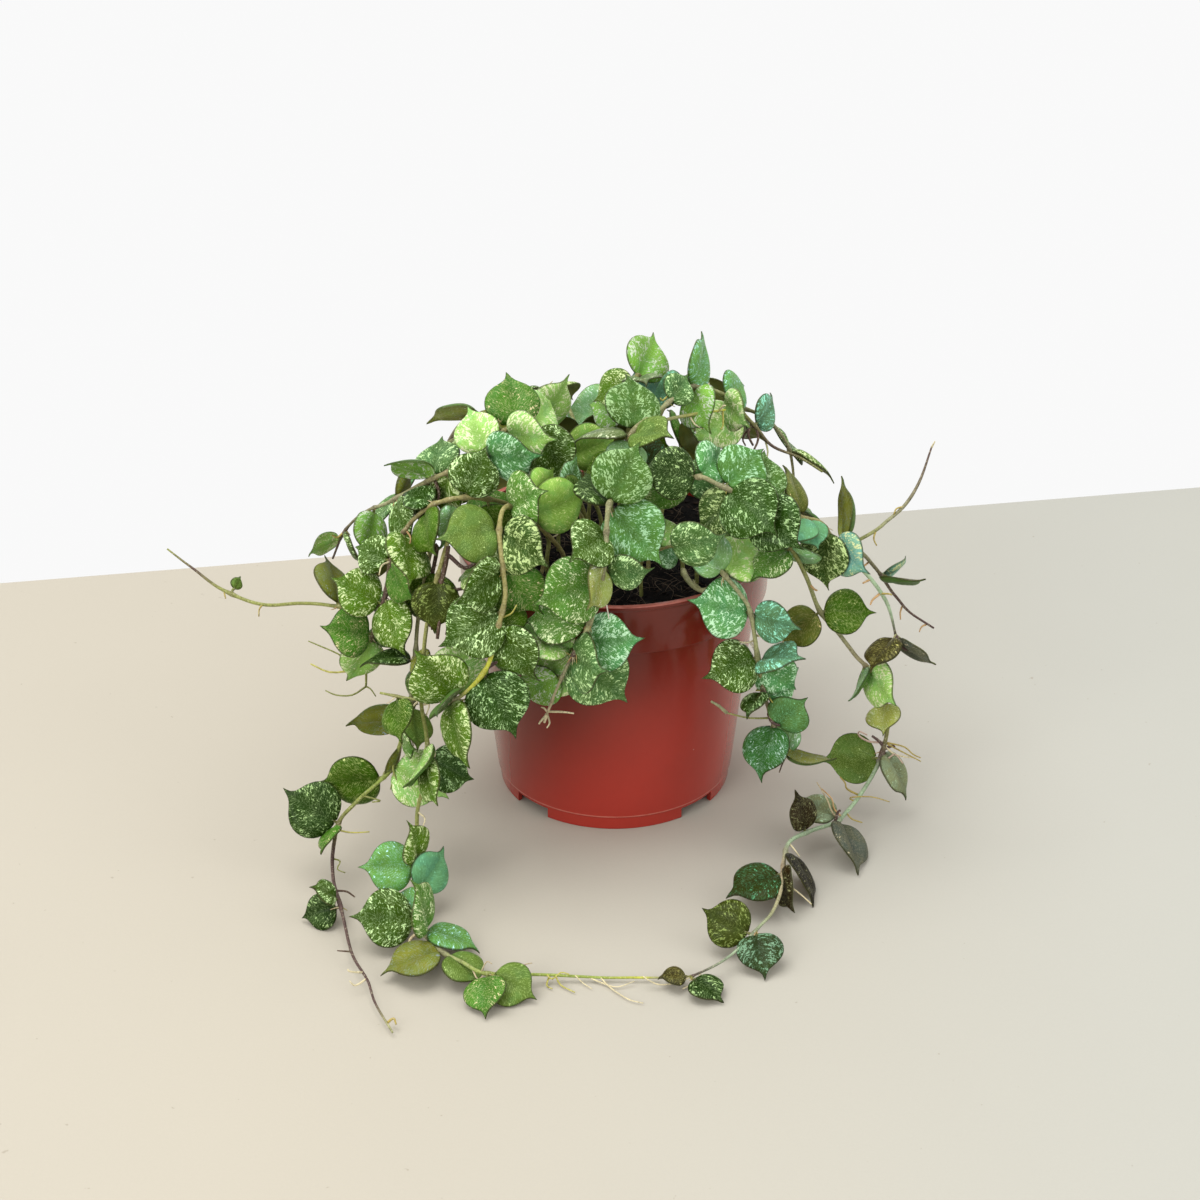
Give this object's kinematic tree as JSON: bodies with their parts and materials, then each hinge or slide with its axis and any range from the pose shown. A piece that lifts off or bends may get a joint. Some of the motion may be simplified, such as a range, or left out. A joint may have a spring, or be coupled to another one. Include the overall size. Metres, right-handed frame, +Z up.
{
  "type": "potted hoya",
  "caption": "Climbing hoya with thick spade-shaped leaves in pairs on thin stems that rise from a round pot, hang over its rim and trail on the surface below.",
  "frame": {"origin": "centre of the bounding box in X and Y, at the surface that the pot stands on", "axes": "+Z up; +Y away from the viewer of the picture; +X to that viewer's right"},
  "size_m": [0.2992, 0.269, 0.1823],
  "materials": {
    "pot_plastic": "glossy, faint scuffs",
    "soil_mix": "matt, fibrous",
    "leaf_and_stem": "satin, fleshy, flecked"
  },
  "bodies": {
    "root": {"pot": "pot_plastic", "soil": "soil_mix", "vine_front_left": "leaf_and_stem", "vine_front_centre": "leaf_and_stem", "vine_right_reach": "leaf_and_stem", "vine_right_front": "leaf_and_stem", "vine_top_right": "leaf_and_stem", "vine_top_back": "leaf_and_stem", "vine_left_arch": "leaf_and_stem", "vine_left_cluster": "leaf_and_stem", "vine_top_left": "leaf_and_stem", "vine_mid_left": "leaf_and_stem", "vine_mid_right": "leaf_and_stem", "vine_left_trail": "leaf_and_stem", "vine_front_trail": "leaf_and_stem", "vine_right_ring": "leaf_and_stem", "vine_back_1": "leaf_and_stem", "vine_back_2": "leaf_and_stem", "vine_back_3": "leaf_and_stem", "vine_back_4": "leaf_and_stem"}
  },
  "joints": []
}
